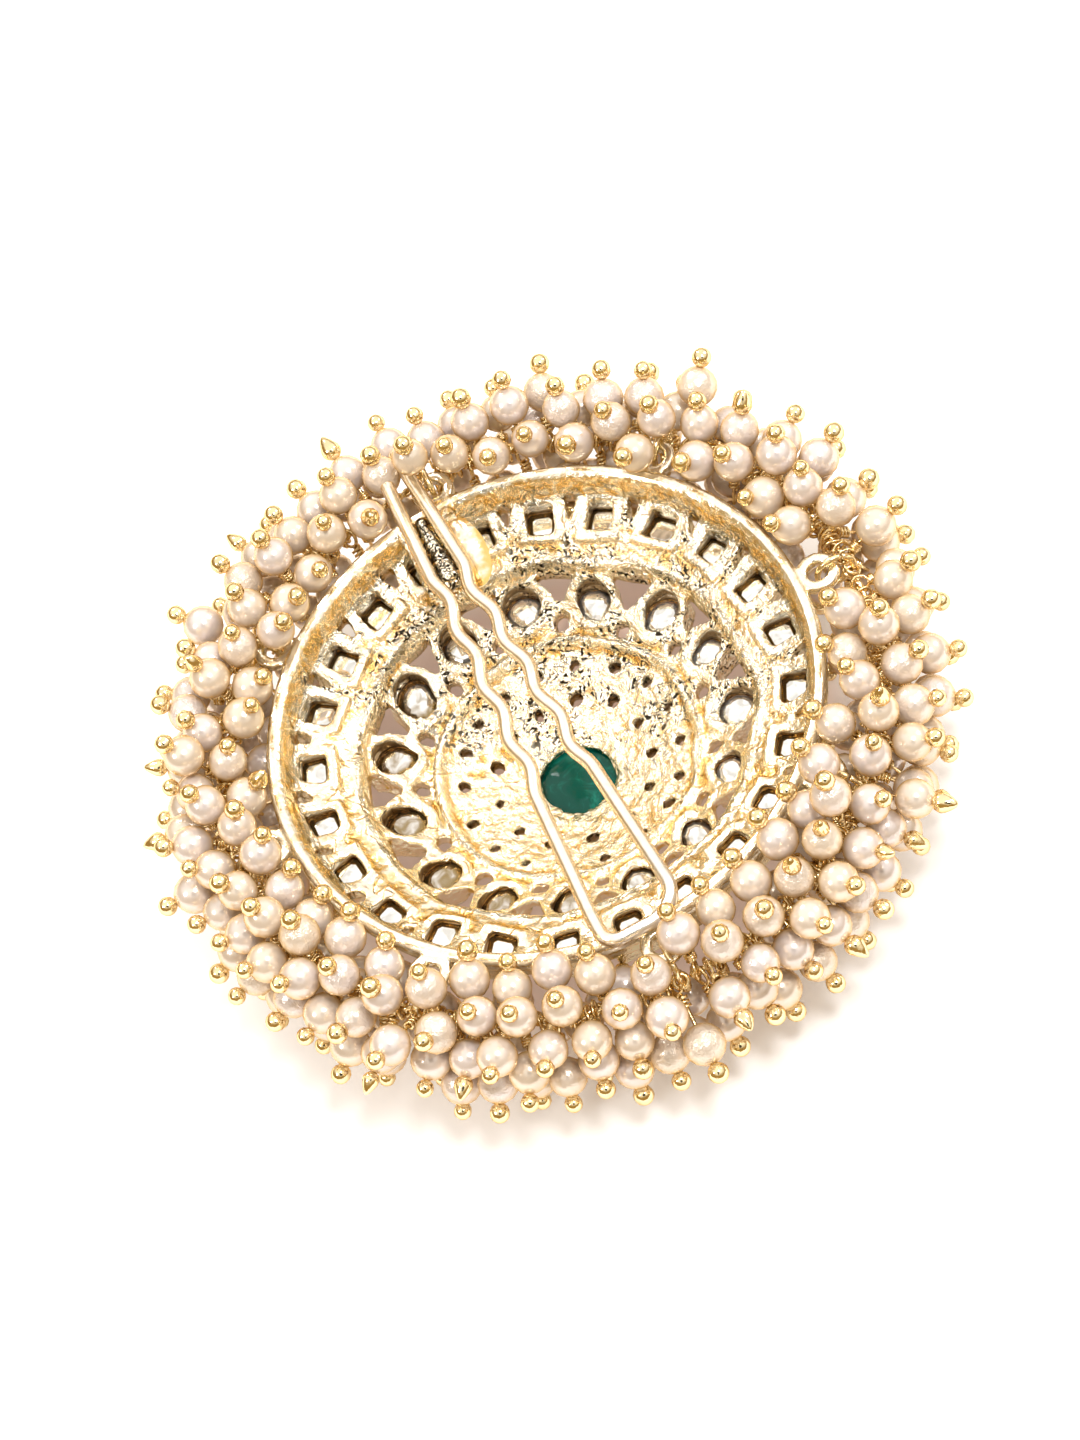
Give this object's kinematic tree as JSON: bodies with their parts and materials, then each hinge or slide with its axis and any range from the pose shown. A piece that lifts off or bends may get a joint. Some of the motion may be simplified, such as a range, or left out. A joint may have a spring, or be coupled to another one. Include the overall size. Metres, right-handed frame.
{
  "type": "hair bun pin",
  "caption": "Openwork cast dome seen from its hollow back, with a fringe of bead pearls on ball-ended head pins and a crimped wire hair pin held by a tab.",
  "frame": {"origin": "on the axis of the dome, at the surface that the part lies on face down", "axes": "+Z out of the hollow back of the dome, +Y towards the tips of the hair pin"},
  "size_m": [0.0773, 0.0777, 0.0219],
  "materials": {
    "cast_gold": "pale gold plate over a granular casting",
    "pin_wire": "smooth pale champagne gold plate",
    "gold_wire": "bright gold plated wire and balls",
    "pearl": "cream pearl coating with a satin sheen",
    "green_stone": "dark emerald glass",
    "clear_stone": "clear cut glass"
  },
  "bodies": {
    "root": {"casting": "cast_gold", "hair_pin": "pin_wire", "jump_rings": "gold_wire", "head_pins_1": "gold_wire", "head_pins_2": "gold_wire", "head_pins_3": "gold_wire", "head_pins_4": "gold_wire", "head_pins_5": "gold_wire", "head_pins_6": "gold_wire", "head_pins_7": "gold_wire", "head_pins_8": "gold_wire", "pearls": "pearl", "middle_stone": "green_stone", "square_stone_1": "clear_stone", "square_stone_2": "clear_stone", "square_stone_3": "clear_stone", "square_stone_4": "clear_stone", "square_stone_5": "clear_stone", "square_stone_6": "clear_stone", "square_stone_7": "clear_stone", "square_stone_8": "clear_stone", "square_stone_9": "clear_stone", "square_stone_10": "clear_stone", "square_stone_11": "clear_stone", "square_stone_12": "clear_stone", "square_stone_13": "clear_stone", "square_stone_14": "clear_stone", "square_stone_15": "clear_stone", "square_stone_16": "clear_stone", "square_stone_17": "clear_stone", "square_stone_18": "clear_stone", "square_stone_19": "clear_stone", "square_stone_20": "clear_stone", "square_stone_21": "clear_stone", "square_stone_22": "clear_stone", "square_stone_23": "clear_stone", "square_stone_24": "clear_stone", "drop_stone_1": "clear_stone", "drop_stone_2": "clear_stone", "drop_stone_3": "clear_stone", "drop_stone_4": "clear_stone", "drop_stone_5": "clear_stone", "drop_stone_6": "clear_stone", "drop_stone_7": "clear_stone", "drop_stone_8": "clear_stone", "drop_stone_9": "clear_stone", "drop_stone_10": "clear_stone", "drop_stone_11": "clear_stone", "drop_stone_12": "clear_stone", "drop_stone_13": "clear_stone", "drop_stone_14": "clear_stone", "drop_stone_15": "clear_stone"}
  },
  "joints": []
}
